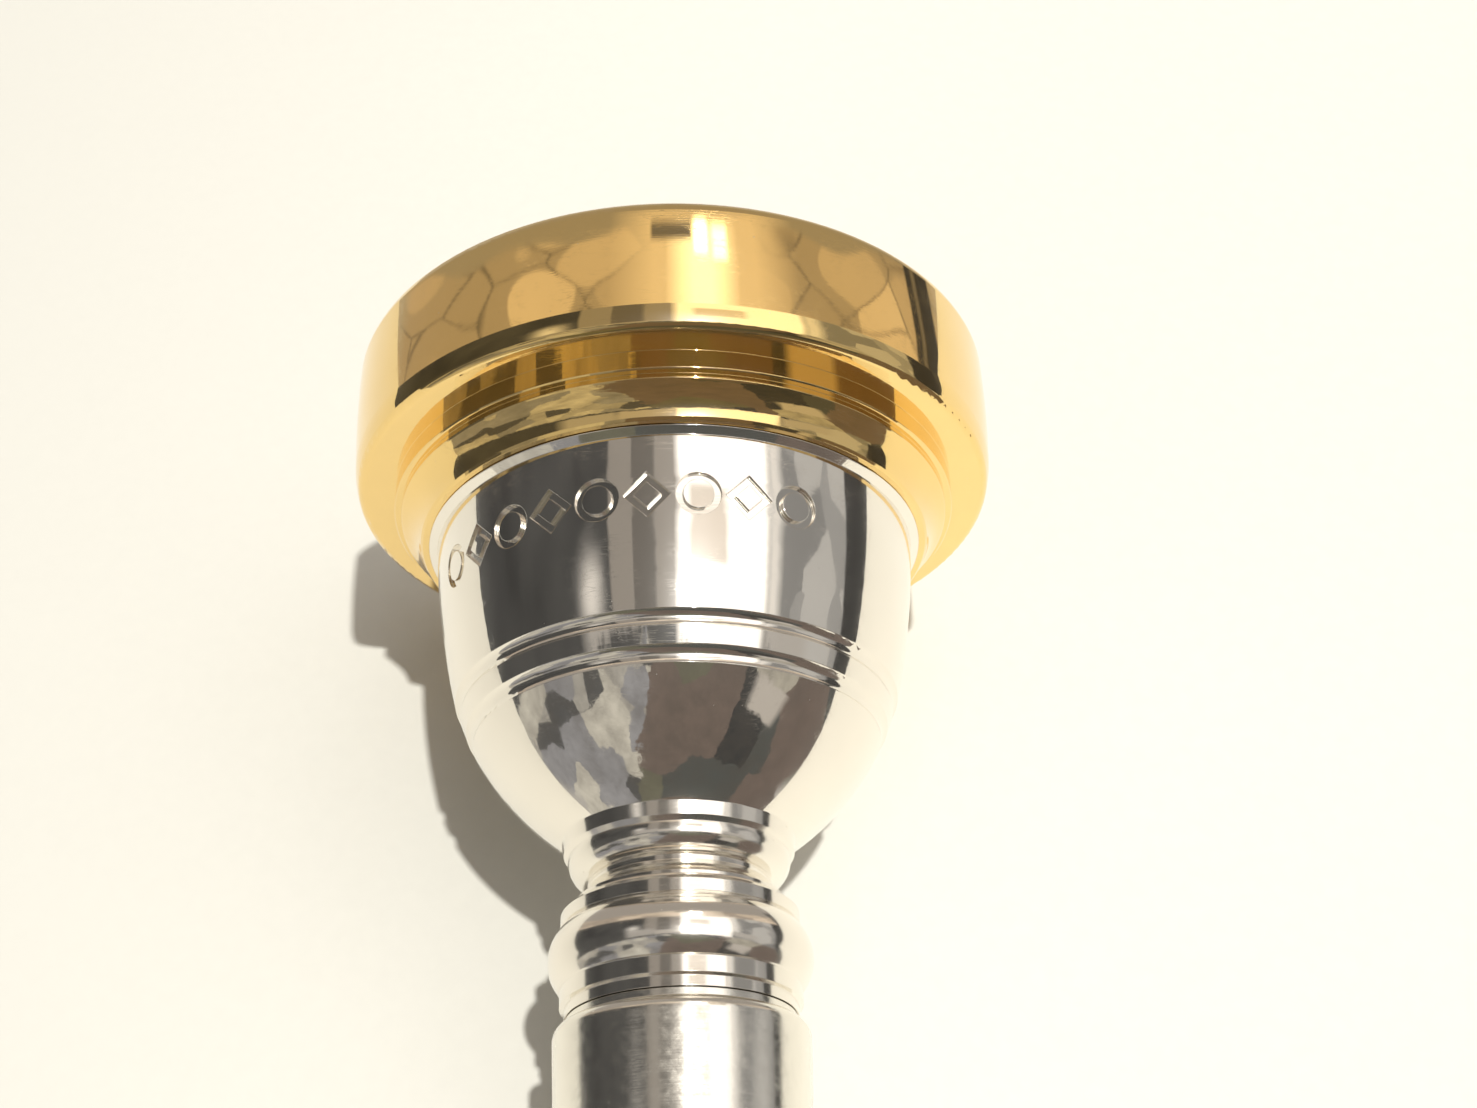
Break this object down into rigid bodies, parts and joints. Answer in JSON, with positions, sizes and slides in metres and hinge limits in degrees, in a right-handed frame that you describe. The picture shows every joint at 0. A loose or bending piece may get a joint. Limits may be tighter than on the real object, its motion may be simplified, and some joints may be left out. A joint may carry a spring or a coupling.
{
  "type": "brass instrument mouthpiece",
  "caption": "Large-shank brass mouthpiece: gold rim with a rounded bite, silver cup with a stamped ornament, turned collar and tapered shank, joined by screw threads.",
  "frame": {"origin": "on the bore's axis, in the plane that the rim's crown rests on, so the mouthpiece stands on its rim", "axes": "+Z along the bore from the rim to the tip of the shank; the stamped ornament faces -Y"},
  "size_m": [0.0404, 0.0404, 0.082],
  "materials": {
    "gold_plate": "polished gold plate on brass",
    "silver_plate": "polished silver plate on brass",
    "satin_silver": "silver plate over a fine turned surface on brass",
    "seal_rubber": "moulded black rubber"
  },
  "bodies": {
    "rim": {"rim": "gold_plate"},
    "rim_seal": {"rim_seal": "seal_rubber"},
    "cup": {"cup": "silver_plate"},
    "shank_seal": {"shank_seal": "seal_rubber"},
    "shank": {"shank": "satin_silver"}
  },
  "joints": [
    {"name": "rim_screw_lift", "type": "slide", "parent": "rim", "child": "rim_seal", "axis": [0, 0, 1], "range_m": [0, 0.00375]},
    {"name": "rim_screw_turn", "type": "hinge", "parent": "rim_seal", "child": "cup", "pos_m": [0, 0, 0.0135], "axis": [0, 0, 1], "range_deg": [0, 1800]},
    {"name": "shank_screw_lift", "type": "slide", "parent": "cup", "child": "shank_seal", "axis": [0, 0, 1], "range_m": [0, 0.00375]},
    {"name": "shank_screw_turn", "type": "hinge", "parent": "shank_seal", "child": "shank", "pos_m": [0, 0, 0.04355], "axis": [0, 0, 1], "range_deg": [0, 1800]}
  ],
  "couplings": [
    {"joint": "rim_screw_turn", "follows": "rim_screw_lift", "rad_per_m": 8377.6},
    {"joint": "shank_screw_turn", "follows": "shank_screw_lift", "rad_per_m": 8377.6}
  ]
}
